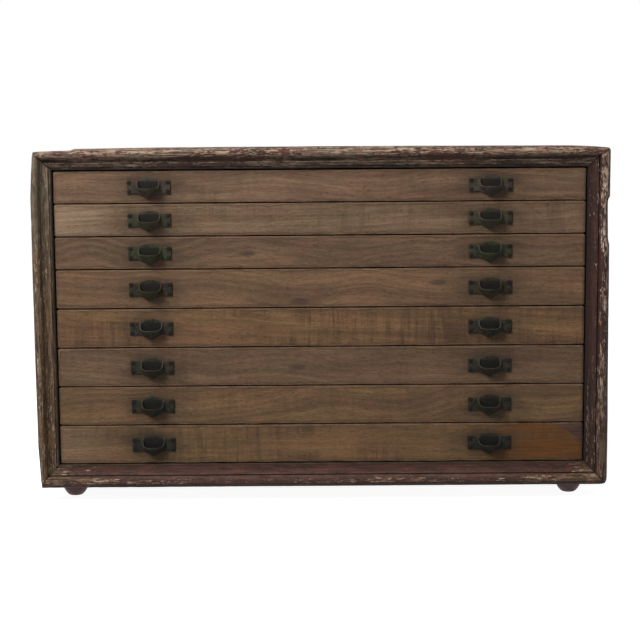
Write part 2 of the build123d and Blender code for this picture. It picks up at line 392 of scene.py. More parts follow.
def bareWood(name, turn, pale, dark, seed, figure, dust, gloss=0.62):
    material, place = startMaterial(name, turn)
    grain = useGroup(woodGrain, Vector=place, Seed=seed, Figure=figure)
    colour = blend(grain["Tone"], dark, pale)
    colour = blend(grain["Streak"] * 0.55, colour, dark, "MULTIPLY")
    colour = blend(grain["Pore"] * 0.5, colour, (40, 28, 20))
    stain = ramp(noiseOf(place, (11, 17, 17), 5.0, 0.6), 0.48, 0.72, 0.0, 0.55)
    colour = blend(stain, colour, (52, 38, 28))
    colour = dusted(colour, place, dust, (150, 140, 126))
    roughness = grain["Streak"] * 0.2 + gloss
    finishMaterial(colour, roughness, grain["Height"], 0.0004, 0.6, 0.3)
    return material


# the drawer fronts: what differs from one to the next

frontLook = dict(
    spacing=mm(3), cornerRadius=mm(0.9), cornerVary=mm(0.8), endRadius=mm(3.2), dent=mm(0.35),
    rabbetWidth=mm(10), rabbetDepth=mm(8), grooveDepth=mm(5),
)
frontNames = ("pale", "dark", "seed", "figure", "chatter", "grime", "slope", "paleEnd")
frontFinish = {number: dict(zip(frontNames, row)) for number, row in enumerate((
    ((131, 103, 81), (81, 58, 44), 1.3, 0.25, 0.25, 0.8, -1, 0.0),
    ((135, 109, 87), (84, 63, 47), 2.9, 0.2, 0.45, 0.6, 2, 0.4),
    ((105, 79, 60), (60, 42, 30), 5.2, 1.0, 0.15, 0.7, 0, 0.0),
    ((119, 89, 64), (75, 52, 37), 7.7, 0.6, 0.2, 0.7, -2, 0.0),
    ((123, 89, 57), (75, 49, 30), 9.4, 0.3, 1.0, 0.6, -4, 0.0),
    ((105, 80, 60), (62, 44, 31), 12.1, 0.4, 0.3, 0.8, -4, 0.0),
    ((113, 84, 54), (62, 43, 26), 15.8, 0.5, 0.3, 0.8, 4, 0.0),
    ((109, 80, 48), (62, 41, 22), 18.3, 0.3, 0.8, 1.0, 0, 0.2),
), 1)}
# arches in the grain of a front (middle, bend, reach) and its knots (X, Z), in metres
arches = {1: ((0.05, -1.5, 0.12),), 3: ((-0.3, 6.0, 0.07), (0.02, -3.0, 0.09)), 4: ((0.06, 4.0, 0.08),),
          6: ((-0.05, 3.0, 0.1),), 7: ((0.1, -4.0, 0.09),)}
knots = {3: ((-0.094, 0.324),), 4: ((-0.026, 0.262), (0.152, 0.285)), 6: ((-0.03, 0.176),)}


def roundKnots(place, number):
    # (vector with the grain arched and led round the knots, darkness of the knots)
    x, y, z = xyz(place)
    core, level = None, z
    for middle, bend, reach in arches.get(number, ()):
        square = (x - middle) ** 2
        fade = maths("EXPONENT", square * (-1 / reach ** 2))
        z = square * bend * fade + z
    for knotX, knotZ in knots.get(number, ()):
        aside = (x - knotX) / 0.03
        above = level - knotZ
        raised = above / 0.011
        away = aside ** 2 + raised ** 2
        near = maths("EXPONENT", -away)
        z = above * (near * -0.75) + z
        spot = ramp(away, 0.25, 0.0)
        core = spot if core is None else maths("MAXIMUM", core, spot)
    return fromXyz(x, y, z), core


def frontMaterial(number):
    # bare walnut brown board, sawn, handled and worn
    finish = frontFinish[number]
    low, high = boxOf(f"drawer_{number}_front")
    level = (low[2] + high[2]) / 2
    material, place = startMaterial(f"walnutFront{number}")
    led, core = roundKnots(place, number)
    sloped = outOf("ShaderNodeMapping", {"Vector": led, "Rotation": (0, math.radians(finish["slope"]), 0)})
    grain = useGroup(woodGrain, Vector=sloped, Seed=finish["seed"], Figure=finish["figure"])
    colour = blend(grain["Tone"], finish["dark"], finish["pale"])
    streak = ramp(grain["Streak"], 0.3, 0.95, 0.0, 0.5)
    colour = blend(streak, colour, (58, 42, 30))
    tints = ramp(noiseOf(place, (14, 55, 55), 4.0, 0.7), 0.4, 0.6)
    colour = blend(0.16, colour, blend(tints, (84, 80, 50), (128, 90, 72)))
    mottle = ramp(noiseOf(place, (130, 600, 600), 5.0, 0.75), 0.35, 0.65, kind="LINEAR")
    colour = blend(0.2, colour, blend(mottle, (52, 38, 27), (134, 106, 78)))
    blotch = ramp(noiseOf(place, (9, 34, 34), 4.0, 0.6), 0.38, 0.7, 0.0, 0.35)
    colour = blend(blotch, colour, (60, 44, 33))
    chatter = useGroup(sawChatter, Vector=place, Seed=finish["seed"])
    colour = blend(chatter["Mark"] * (0.62 * finish["chatter"]), colour, (48, 32, 20))
    colour = blend(grain["Pore"] * 0.45, colour, (38, 26, 19))
    if core is not None:
        colour = blend(core * 0.6, colour, (44, 32, 26))
    if finish["paleEnd"]:
        bleached = ramp(xyz(place)[0], -0.24, -0.335, 0.0, finish["paleEnd"])
        bleached = bleached * ramp(grain["Streak"], 0.9, 0.2, 0.4, 1.0)
        colour = blend(bleached, colour, (156, 134, 110))
    if number == 8:
        colour = amberVarnish(place, colour, grain)
    grime = useGroup(pullGrime, Vector=place, Level=level, Seed=finish["seed"], Spread=1.0)
    colour = blend(grime["Grime"] * (0.42 * finish["grime"]), colour, (48, 39, 26))
    colour = blend(grime["Rust"] * (0.55 * finish["grime"]), colour, (36, 27, 18))
    wear = useGroup(edgeWear, Vector=place, Width=0.0014)
    colour = blend(wear["Dirty"] * 0.4, colour, (48, 34, 25))
    colour = blend(wear["Rubbed"] * 0.3, colour, (124, 96, 72))
    colour = dusted(colour, place, 0.5, (120, 108, 92))
    roughness = grain["Streak"] * 0.16 + 0.6
    height = chatter["Mark"] * (-0.5 * finish["chatter"]) + grain["Height"]
    height = mottle * 0.5 + height
    finishMaterial(colour, roughness, height, 0.0005, 0.8, 0.2)
    return material


def amberVarnish(place, colour, grain):
    # the lowest front keeps amber varnish at its right-hand end, and a dark patch in the corner
    x, _, z = xyz(place)
    ragged = noiseOf(place, (22, 60, 60), 4.0, 0.6) - 0.5
    reach = ragged * 0.08 + x
    amber = ramp(reach, 0.185, 0.255)
    amber = amber * ramp(grain["Tone"], 0.0, 0.7, 0.55, 1.0)
    varnish = blend(grain["Streak"], (97, 58, 20), (66, 39, 13))
    colour = blend(amber * 0.95, colour, varnish)
    across = (x - 0.302) * 0.558
    beyond = (z - 0.1) * 0.83 + across
    curve = maths("SINE", x * 150.0)
    beyond = curve * 0.0012 + ragged * 0.004 + beyond
    corner = blend(grain["Streak"], (78, 56, 48), (42, 30, 28))
    return blend(ramp(beyond, -0.0005, 0.0008, 0.0, 0.9), colour, corner)


# boards, swept along their length with worn arrises

axisOrder = {"x": (0, 1, 2), "y": (1, 2, 0), "z": (2, 0, 1)}  # run, then across in two directions


def boardStations(stretches, spacing, endRadius):
    # (place along the run, how far the section is drawn in, which stretch)
    first, last = stretches[0][0], stretches[-1][1]
    arc = [math.pi / 2 * k / 4 for k in range(4, 0, -1)]
    arc = [(endRadius * (1 - math.sin(a)), endRadius * (1 - math.cos(a))) for a in arc]
    rows = [(first + inset, drawnIn, 0) for inset, drawnIn in arc]
    for which, (start, end, _) in enumerate(stretches):
        low, high = max(start, first + endRadius), min(end, last - endRadius)
        steps = max(1, round((high - low) / spacing))
        rows += [(low + (high - low) * k / steps, 0.0, which) for k in range(steps + 1)]
    return rows + [(last - inset, drawnIn, len(stretches) - 1) for inset, drawnIn in reversed(arc)]


def roundedSection(corners, radii, counts):
    # points round a section whose corners are arcs, with outward normals and distances to the corners
    corners = np.array(corners, float)
    steps = np.roll(corners, -1, axis=0) - corners
    lengths = np.maximum(np.hypot(steps[:, 0], steps[:, 1]), 1e-9)
    units = steps / lengths[:, None]
    before = np.roll(units, 1, axis=0)
    convex = before[:, 0] * units[:, 1] - before[:, 1] * units[:, 0] > 0.5
    most = 0.45 * np.minimum(lengths, np.roll(lengths, 1))
    radii = np.where(convex, np.minimum(radii, most), 0.0)
    points, normals, edges = [], [], []
    for i, (corner, into, onward) in enumerate(zip(corners, before, units)):
        middle = corner + (onward - into) * radii[i]
        for k in range(4):
            angle = math.pi / 2 * k / 3
            outward = -onward * math.cos(angle) + into * math.sin(angle)
            points.append(middle + outward * radii[i])
            normals.append(outward if convex[i] else np.zeros(2))
            edges.append(0.0 if convex[i] else lengths[i])
        following = (i + 1) % len(corners)
        start = corner + onward * radii[i]
        end = corners[following] - onward * radii[following]
        for k in range(1, counts[i]):
            share = k / counts[i]
            points.append(start + (end - start) * share)
            normals.append(np.array([onward[1], -onward[0]]))
            edges.append(min(share, 1 - share) * lengths[i])
    return points, normals, edges


def loftBoard(name, axis, stretches, look, seed, material, endShape=(0.4, 1.0)):
    # one board with its grain along the given axis; each stretch has a section of its own
    run, across, up = axisOrder[axis]
    stations = boardStations(stretches, look["spacing"], look["endRadius"])
    longest = np.array(max((s[2] for s in stretches), key=lambda c: np.ptp(np.array(c)[:, 1])), float)
    spans = np.linalg.norm(np.roll(longest, -1, axis=0) - longest, axis=1)
    counts = [max(1, int(round(span / look["spacing"]))) for span in spans]
    rings, normals, edges = [], [], []
    for place, drawnIn, which in stations:
        corners = stretches[which][2]
        spots = np.array([[place, i * 7.0, seed] for i in range(len(corners))])
        radii = look["cornerRadius"] + look["cornerVary"] * latticeNoise(spots, (45, 1, 1), seed)
        radii = np.maximum(radii, mm(0.2))
        points, outward, edge = roundedSection(corners, radii, counts)
        points, outward = np.array(points), np.array(outward)
        points = points - outward * np.array(endShape) * drawnIn
        toEnd = min(place - stretches[0][0], stretches[-1][1] - place)
        ring, normal = np.zeros((len(points), 3)), np.zeros((len(points), 3))
        ring[:, run], ring[:, across], ring[:, up] = place, points[:, 0], points[:, 1]
        normal[:, across], normal[:, up] = outward[:, 0], outward[:, 1]
        rings.append(ring)
        normals.append(normal)
        edges.append(np.minimum(edge, toEnd))
    size = len(rings[0])
    points, normals, edges = np.vstack(rings), np.vstack(normals), np.concatenate(edges)
    hollows = lumps(points, (14, 30, 30), (60, 90, 90), seed + 11)
    points = points - normals * (look["dent"] * np.clip(hollows + 0.2, 0, 1))[:, None]
    faces = []
    for row in range(len(stations) - 1):
        for i in range(size):
            j = (i + 1) % size
            faces.append((row * size + i, row * size + j, (row + 1) * size + j, (row + 1) * size + i))
    faces.append(tuple(reversed(range(size))))
    faces.append(tuple(range((len(stations) - 1) * size, len(stations) * size)))
    piece = pieceFrom(name, points, faces, material)
    storeOnPoints(piece.data, "edge", edges)
    closeSeams(piece.data)
    smoothShading(piece, 35)
    return piece


def closeSeams(mesh, turnOutwards=False, distance=1e-6):
    work = bmesh.new()
    work.from_mesh(mesh)
    bmesh.ops.remove_doubles(work, verts=work.verts, dist=distance)
    bmesh.ops.dissolve_degenerate(work, dist=distance, edges=work.edges)
    if turnOutwards:
        bmesh.ops.recalc_face_normals(work, faces=work.faces)
    work.to_mesh(mesh)
    work.free()


def makeFront(number):
    low, high = boxOf(f"drawer_{number}_front")
    trayLow, trayHigh = boxOf(f"drawer_{number}_bottom")
    y0, y1, z0, z1 = low[1], high[1], low[2], high[2]
    g0, g1, inner = trayLow[2], trayHigh[2], high[1] - frontLook["grooveDepth"]
    rear = y1 - frontLook["rabbetDepth"]
    sliver = mm(0.02)
    long = [(y0, z0), (y1, z0), (y1, g0), (inner, g0), (inner, g1), (y1, g1), (y1, z1), (y0, z1)]
    short = [
        (y0, z0), (rear, z0), (rear, g0), (rear - sliver, g0),
        (rear - sliver, g1), (rear, g1), (rear, z1), (y0, z1),
    ]
    shoulder = frontLook["rabbetWidth"]
    stretches = [
        (low[0], low[0] + shoulder, short),
        (low[0] + shoulder, high[0] - shoulder, long),
        (high[0] - shoulder, high[0], short),
    ]
    piece = loftBoard(
        f"drawer_{number}_front_board", "x", stretches, frontLook, 40 + number, frontMaterial(number)
    )
    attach(piece, f"drawer_{number}")
    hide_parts(f"drawer_{number}_front")


for number in drawerNumbers:
    makeFront(number)
print("drawer fronts made")


# the boards of the cabinet

caseLook = dict(
    spacing=mm(8), cornerRadius=mm(1.6), cornerVary=mm(1.2), endRadius=mm(1.6), dent=mm(0.5),
    sideRabbet=mm(8), backRabbet=mm(10),
)


def caseMaterial(name, turn, seed):
    # dark red brown paint over wood, rubbed through along the arrises and scuffed
    material, place = startMaterial(name, turn)
    grain = useGroup(woodGrain, Vector=place, Seed=seed, Figure=0.3)
    wood = blend(grain["Tone"], (84, 66, 50), (128, 104, 80))
    wood = blend(grain["Streak"] * 0.6, wood, (58, 44, 34))
    wear = useGroup(edgeWear, Vector=place, Width=0.006)
    rubbed = ramp(noiseOf(place, (3, 9, 9), 4.0, 0.6), 0.46, 0.7, 0.0, 0.28)
    loss = wear["Rubbed"] * 0.35 + rubbed
    flake = useGroup(paintFlake, Vector=place, Cover=0.92, Undercoat=0.25, Seed=seed, Loss=loss)
    wood = blend(flake["Crack"] * 0.7, wood, (40, 30, 24))
    colour = blend(flake["Under"], wood, (128, 112, 88))
    paint = blend(grain["Tone"], (52, 32, 28), (74, 47, 39))
    faded = ramp(noiseOf(place, (5, 8, 8), 5.0, 0.65), 0.4, 0.7, 0.0, 0.5)
    paint = blend(faded, paint, (86, 66, 56))
    colour = blend(flake["Top"], colour, paint)
    colour = blend(flake["Rim"] * 0.4, colour, (34, 24, 21))
    scuffs = ramp(noiseOf(place, (16, 500, 60), 5.0, 0.75), 0.57, 0.66, 0.0, 0.5)
    colour = blend(scuffs, colour, (118, 98, 82))
    colour = dusted(colour, place, 0.14, (132, 122, 108))
    roughness = flake["Top"] * -0.14 + 0.76
    height = grain["Height"] * 0.7 + flake["Height"]
    finishMaterial(colour, roughness, height, 0.0004, 0.6, 0.25)
    return material


casePaintAcross = caseMaterial("casePaintAcross", (0, 0, 0), 3.0)
casePaintUpright = caseMaterial("casePaintUpright", (0, 90, 0), 6.0)


def makeLid(node, inward, material, seed):
    # top or bottom board; inward is the direction of the inside, up or down
    low, high = boxOf(node)
    sideLow, _ = boxOf("right_side")
    backLow, _ = boxOf("back_boards")
    y0, y1, yBack = low[1], high[1], backLow[1]
    inner, outer = (low[2], high[2]) if inward < 0 else (high[2], low[2])
    sideStep = inner - inward * caseLook["sideRabbet"]
    backStep = inner - inward * caseLook["backRabbet"]
    half = sideLow[0]

    def section(under, step):
        shape = [(y0, under), (yBack, under), (yBack, step), (y1, step), (y1, outer), (y0, outer)]
        return shape if inward < 0 else list(reversed(shape))

    deeper = min if inward > 0 else max
    middle, end = section(inner, backStep), section(sideStep, deeper(sideStep, backStep))
    stretches = [(low[0], -half, end), (-half, half, middle), (half, high[0], end)]
    piece = loftBoard(node + "_worn", "x", stretches, caseLook, seed, material, (1.0, 1.0))
    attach(piece, "cabinet")
    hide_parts(node)


def makeSide(node, sign, seed):
    low, high = boxOf(node)
    backLow, _ = boxOf("back_boards")
    x0, x1, y0, y1, yBack = low[0], high[0], low[1], high[1], backLow[1]
    step = caseLook["backRabbet"]
    if sign > 0:
        shape = [(x0, y0), (x1, y0), (x1, y1), (x0 + step, y1), (x0 + step, yBack), (x0, yBack)]
    else:
        shape = [(x0, y0), (x1, y0), (x1, yBack), (x1 - step, yBack), (x1 - step, y1), (x0, y1)]
    piece = loftBoard(
        node + "_worn", "z", [(low[2], high[2], shape)], caseLook, seed, casePaintUpright, (0.3, 0.3)
    )
    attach(piece, "cabinet")
    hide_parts(node)


makeLid("top_board", -1, casePaintAcross, 71)
makeLid("bottom_board", 1, casePaintAcross, 72)
makeSide("right_side", 1, 73)
makeSide("left_side", -1, 74)
print("cabinet boards made")


# shiplapped back

backLook = dict(
    spacing=mm(9), cornerRadius=mm(0.7), cornerVary=mm(0.5), endRadius=mm(0.8), dent=mm(0.5),
    boards=3, lap=mm(8), gap=mm(1.4),
)


backTones = (((150, 120, 88), (98, 73, 50)), ((136, 112, 86), (86, 66, 48)), ((154, 128, 98), (104, 80, 58)))


def makeBack():
    low, high = boxOf("back_boards")
    y0, y1, half = low[1], high[1], (low[1] + high[1]) / 2
    pitch = (high[2] - low[2]) / backLook["boards"]
    for i in range(backLook["boards"]):
        z0, z1 = low[2] + i * pitch, low[2] + (i + 1) * pitch
        shape = [(half, z0), (y1, z0)] if i else [(y0, z0), (y1, z0)]
        if i < backLook["boards"] - 1:
            top = z1 - backLook["gap"]
            shape += [(y1, top), (half, top), (half, z1 + backLook["lap"]), (y0, z1 + backLook["lap"])]
        else:
            shape += [(y1, z1), (y0, z1)]
        if i:
            step = z0 + backLook["lap"] + backLook["gap"]
            shape += [(y0, step), (half, step)]
        material = bareWood(f"backBoard{i + 1}", (0, 0, 0), *backTones[i], 21.0 + i * 3.3, 0.5, 0.3)
        piece = loftBoard(
            f"back_board_{i + 1}", "x", [(low[0], high[0], shape)], backLook, 81 + i, material, (1.0, 1.0)
        )
        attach(piece, "cabinet")
        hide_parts("back_boards")


makeBack()
print("back boards made")


# the moulded frame: one Geometry Nodes tree sweeps the moulding and cuts its mitres

mouldingLook = dict(
    spacing=mm(2.5), fillet=mm(4), filletDepth=mm(7.5), coveStart=mm(9.5), coveEnd=mm(12.5), coveWidth=mm(9),
    coveSag=mm(1.2), quirk=mm(1.4), quirkDepth=mm(10.5), beadSide=mm(13), depth=mm(20), width=mm(29),
)
# bands are (from, to, strength, colour) stripes across a member from the drawers outwards, in mm; quirk is
# how dark the painted shade in the quirk groove is
mouldingMembers = {
    "frame_top": dict(
        along=(1, 0, 0), out=(0, 0, 1), wear=mm(0.8), seed=4.0, turn=(0, 0, 0), cover=0.36, undercoat=0.62,
        paint=((96, 56, 48), (54, 38, 32)), under=((158, 140, 118), (150, 118, 102)),
        wood=((128, 112, 94), (74, 58, 44)), crest=0.03, ends=0.0, quirk=0.0, filled=1.0, bands=(
            # painted shade on the fillet and cove, a painted highlight on the cove's lit edge, the bead's
            # painted shadow below it, painted shade on the bead's lower flank, and a greyer tint on the outer
            # edge
            (0.0, 8.0, 0.9, (26, 18, 13)), (8.0, 9.6, 0.4, (78, 62, 44)), (9.6, 13.0, 1.0, (18, 12, 9)),
            (13.0, 15.5, 0.5, (50, 40, 32)), (26.0, 29.0, 0.45, (84, 66, 62)),
        ),
    ),
    "frame_bottom": dict(
        along=(-1, 0, 0), out=(0, 0, -1), wear=mm(0.45), seed=9.0, turn=(0, 0, 0), cover=0.8, undercoat=0.5,
        paint=((78, 47, 38), (50, 31, 25)), under=((146, 122, 104), (122, 92, 80)),
        wood=((106, 82, 61), (56, 39, 28)), crest=0.2, ends=0.3, quirk=0.45, filled=0.0, bands=(
            # a painted highlight on the lit inner edge, two dark lines, and painted shade on the underside of
            # the bead
            (0.0, 1.2, 0.7, (120, 94, 60)), (5.0, 6.2, 0.5, (44, 29, 25)), (9.0, 10.0, 0.4, (46, 30, 26)),
            (23.0, 29.0, 0.85, (28, 20, 17)),
        ),
    ),
    "frame_left": dict(
        along=(0, 0, 1), out=(-1, 0, 0), wear=mm(0.7), seed=14.0, turn=(0, 90, 0), cover=0.42, undercoat=0.45,
        paint=((104, 78, 56), (66, 46, 34)), under=((150, 136, 112), (130, 104, 72)),
        wood=((114, 95, 73), (60, 44, 32)), crest=0.0, ends=0.0, quirk=0.12, filled=1.0, bands=(
            # painted shade in the gap beside the drawers, a browner stripe, and a darker outer side
            (0.0, 2.2, 0.85, (34, 24, 18)), (2.6, 8.0, 0.3, (88, 62, 46)), (25.0, 29.0, 0.5, (58, 46, 42)),
        ),
    ),
    "frame_right": dict(
        along=(0, 0, -1), out=(1, 0, 0), wear=mm(0.5), seed=19.0, turn=(0, 90, 0), cover=0.72, undercoat=0.6,
        paint=((56, 28, 21), (36, 18, 14)), under=((172, 150, 134), (138, 104, 90)),
        wood=((98, 76, 57), (46, 32, 23)), crest=0.17, ends=0.0, quirk=0.6, filled=0.0, bands=(
            # painted shade in the gap beside the drawers, painted shade standing for two recesses between
            # reeds, and a grey outer rim
            (0.0, 2.6, 0.85, (26, 14, 11)), (6.4, 8.0, 0.6, (30, 17, 14)), (10.6, 12.2, 0.45, (34, 20, 17)),
            (25.0, 29.0, 0.55, (78, 74, 74)),
        ),
    ),
}
# how far the frame is worn in from outside, in mm, at places in metres along X or Z
outlineLosses = {
    "top": ((-0.372, 5.8), (-0.345, 4.6), (-0.316, 4.0), (-0.312, 2.0), (-0.2, 1.0), (0, 0.9), (0.2, 1.6),
            (0.32, 2.2), (0.35, 3.6), (0.372, 5.5)),
    "left": ((0.02, 6.6), (0.03, 5.4), (0.045, 4.8), (0.075, 3.1), (0.107, 3.0), (0.204, 2.3), (0.37, 2.5),
             (0.397, 2.5), (0.43, 4.6), (0.445, 5.8), (0.45, 6.0), (0.461, 7.4)),
    "right": ((0.02, 0.0), (0.107, 0.0), (0.139, 0.5), (0.204, 0.8), (0.236, 0.9), (0.3, 1.3), (0.333, 1.4),
              (0.34, 3.2), (0.385, 4.2), (0.3905, 3.8), (0.394, 1.5), (0.461, 1.4)),
}


def mouldingProfile():
    # the moulding's section: x outwards from the drawers, y forwards from the boards
    look = mouldingLook
    coveEnd = look["fillet"] + look["coveWidth"]
    quirkEnd = coveEnd + look["quirk"]
    points = [(0, 0), (0, look["filletDepth"] / 2), (0, look["filletDepth"] - mm(0.5))]
    points += [(mm(0.5), look["filletDepth"]), (look["fillet"] / 2, look["filletDepth"])]
    points += [(look["fillet"], look["filletDepth"])]
    for k in range(9):
        share = k / 8
        sag = 4 * share * (1 - share) * look["coveSag"]
        x = look["fillet"] + look["coveWidth"] * share
        points.append((x, look["coveStart"] + (look["coveEnd"] - look["coveStart"]) * share - sag))
    points += [(coveEnd, look["quirkDepth"]), (quirkEnd, look["quirkDepth"])]
    middle, reach = (quirkEnd + look["width"]) / 2, (look["width"] - quirkEnd) / 2
    for k in range(17):
        angle = math.pi * (1 - k / 16)
        rise = (look["depth"] - look["beadSide"]) * math.sin(angle)
        points.append((middle + reach * math.cos(angle), look["beadSide"] + rise))
    points += [(look["width"], look["beadSide"] * share) for share in (0.75, 0.5, 0.25, 0.0)]
    points += [(look["width"] * share, 0) for share in (0.66, 0.33)]
    return points


def mouldingTree():
    given = startGroup("mitredMoulding", {
        "Profile": "Geometry", "Half Length": "Float", "Stations": "Int", "Wear": "Float",
        "Seed": "Float", "Paint": "Material",
    }, "GeometryNodeTree")
    half = given["Half Length"]
    start, end = fromXyz(-half, 0.0, 0.0), fromXyz(half, 0.0, 0.0)
    line = outOf("GeometryNodeCurvePrimitiveLine", {"Start": start, "End": end})
    path = outOf("GeometryNodeResampleCurve", {"Curve": line, "Count": given["Stations"]})
    swept = {"Curve": path, "Profile Curve": given["Profile"], "Fill Caps": True}
    turned = outOf("GeometryNodeFlipFaces", {"Mesh": outOf("GeometryNodeCurveToMesh", swept)})
    position = outOf("GeometryNodeInputPosition")
    x, y, z = xyz(position)
    mitred = fromXyz(x * (-y / half + 1.0), y, z)
    last = outOf("GeometryNodeSetPosition", {"Geometry": turned, "Position": mitred})
    for label, value in (("run", x), ("across", -y), ("forward", -z)):
        last = outOf(
            "GeometryNodeStoreNamedAttribute", {"Geometry": last, "Name": label, "Value": value},
            data_type="FLOAT", domain="POINT",
        )
    shifted = vectorMaths("ADD", position, fromXyz(given["Seed"], given["Seed"], 0.0))
    chips = ramp(noiseOf(shifted, (60, 170, 170), 4.0, 0.6), 0.5, 0.72)
    waves = ramp(noiseOf(shifted, (16, 40, 40), 2.0), 0.35, 0.75)
    crest = ramp(-z, 0.008, 0.019, 0.25, 1.0)
    depth = (waves * 0.5 + chips * 0.7) * crest * given["Wear"]
    inward = vectorMaths("SCALE", outOf("GeometryNodeInputNormal"), scale=-depth)
    worn = outOf("GeometryNodeSetPosition", {"Geometry": last, "Offset": inward})
    real = outOf("GeometryNodeRealizeInstances", {"Geometry": worn})
    painted = outOf("GeometryNodeSetMaterial", {"Geometry": real, "Material": given["Paint"]})
    return finishGroup("Geometry", Moulding=painted)


def setInputs(modifier, **values):
    for item in modifier.node_group.interface.items_tree:
        if item.item_type == "SOCKET" and item.in_out == "INPUT" and item.name in values:
            modifier[item.identifier] = values[item.name]


def mouldingMaterial(name, look):
    # maroon over a pale undercoat over weathered wood, lost first on the crest of the bead, with painted
    # shade and painted highlight laid in stripes along it
    material, place = startMaterial(name, look["turn"])
    plain = outOf("ShaderNodeTexCoord", output="Object")
    across = attributeOf("across")
    forward = attributeOf("forward")
    mitre = attributeOf("mitre")
    crest = ramp(forward, 0.0125, 0.0195)
    grain = useGroup(woodGrain, Vector=place, Seed=look["seed"], Figure=0.2)
    bare = blend(grain["Streak"], *look["wood"])
    ends = ramp(mitre, 0.035, 0.008, 0.0, look["ends"])
    flake = useGroup(
        paintFlake, Vector=place, Cover=look["cover"], Undercoat=look["undercoat"],
        Loss=crest * look["crest"] + ends, Seed=look["seed"],
    )
    colour = blend(flake["Under"], bare, blend(flake["Patch"], *look["under"]))
    bright, dull = look["paint"]
    shades = ramp(noiseOf(place, (30, 260, 260), 4.0, 0.65), 0.38, 0.62)
    colour = blend(flake["Top"], colour, blend(shades, dull, bright))
    cracks = flake["Crack"] * (flake["Top"] * -0.35 + 0.85)
    colour = blend(cracks, colour, (34, 25, 20))
    colour = blend(flake["Rim"] * 0.4, colour, (36, 25, 21))
    specks = ramp(noiseOf(place, (420, 700, 700), 3.0, 0.7), 0.6, 0.68, 0.0, 0.6)
    colour = blend(specks, colour, look["wood"][0])
    if name.startswith("frame_left"):
        upper = ramp(xyz(plain)[2], 0.25, 0.44, 0.0, 0.4)
        colour = blend(upper, colour, blend(flake["Patch"], (88, 84, 70), (134, 128, 112)))
    if name.startswith("frame_right"):
        colour = barePatch(plain, across, place, colour)
        # painted shade: the right-hand member grows darker towards its foot
        footShade = ramp(xyz(plain)[2], 0.33, 0.1, 0.0, 0.5)
        colour = blend(footShade, colour, (36, 22, 18))
    ragged = noiseOf(place, (40, 420, 420), 4.0, 0.6) - 0.5
    wander = ragged * 0.0022 + across
    fading = ramp(noiseOf(place, (18, 90, 90), 4.0), 0.35, 0.65, 0.6, 1.0)
    # the bands lay stripes along the member: paint colours, and painted shade and painted highlight on
    # recesses, gaps and edges
    for start, end, strength, shade in look["bands"]:
        inside = ramp(wander, mm(start - 0.6), mm(start + 0.4)) * ramp(wander, mm(end + 0.6), mm(end - 0.4))
        inside = inside * (fading * strength)
        colour = blend(inside, colour, shade)
    # painted shade in the quirk groove and along the inner edge beside the drawers, and a real dark line on
    # the mitre joints
    quirkShade = ramp(forward, 0.0118, 0.0108) * ramp(across, 0.0125, 0.0128)
    quirkShade = quirkShade * ramp(across, 0.0155, 0.0145)
    inner = ramp(across, 0.0024, 0.0012)
    joint = ramp(ragged * 0.0006 + mitre, 0.0014, 0.0004, 0.0, 0.8)
    shadeAndJoints = quirkShade * look["quirk"]
    shadeAndJoints = maths("MAXIMUM", shadeAndJoints, maths("MAXIMUM", joint, inner * 0.8))
    colour = blend(shadeAndJoints, colour, (18, 12, 10))
    colour = dusted(colour, place, 0.2, (140, 130, 116))
    roughness = flake["Top"] * -0.12 + 0.78
    finishMaterial(colour, roughness, flake["Height"], 0.0007, 0.8, 0.2)
    return material


def barePatch(plain, across, place, colour):
    # bare tan wood on the bead near the foot of the right-hand member
    z = xyz(plain)[2]
    ragged = (noiseOf(place, (60, 60, 60), 4.0) - 0.5) * 0.03
    level = z + ragged
    patch = ramp(level, 0.044, 0.05) * ramp(level, 0.088, 0.076)
    patch = patch * ramp(across, 0.0165, 0.0185)
    return blend(patch * 0.85, colour, (122, 100, 76))


def roundCorners(points, middleZ, halfX, halfZ, radii):
    # draws points in to an arc at each outer corner: radii are for left/right and bottom/top
    for (signX, signZ), radius in radii.items():
        cx, cz = signX * (halfX - radius), middleZ + signZ * (halfZ - radius)
        dx, dz = (points[:, 0] - cx) * signX, (points[:, 2] - cz) * signZ
        away = np.hypot(dx, dz)
        outside = (dx > 0) & (dz > 0) & (away > radius)
        pull = np.where(outside, radius / np.maximum(away, 1e-9), 1.0)
        points[:, 0] = np.where(outside, cx + dx * pull * signX, points[:, 0])
        points[:, 2] = np.where(outside, cz + dz * pull * signZ, points[:, 2])
    return points


cornerRadii = {(-1, 1): mm(9), (1, 1): mm(16), (-1, -1): mm(8), (1, -1): mm(10)}
moulding = mouldingTree()
profilePoints = mouldingProfile()


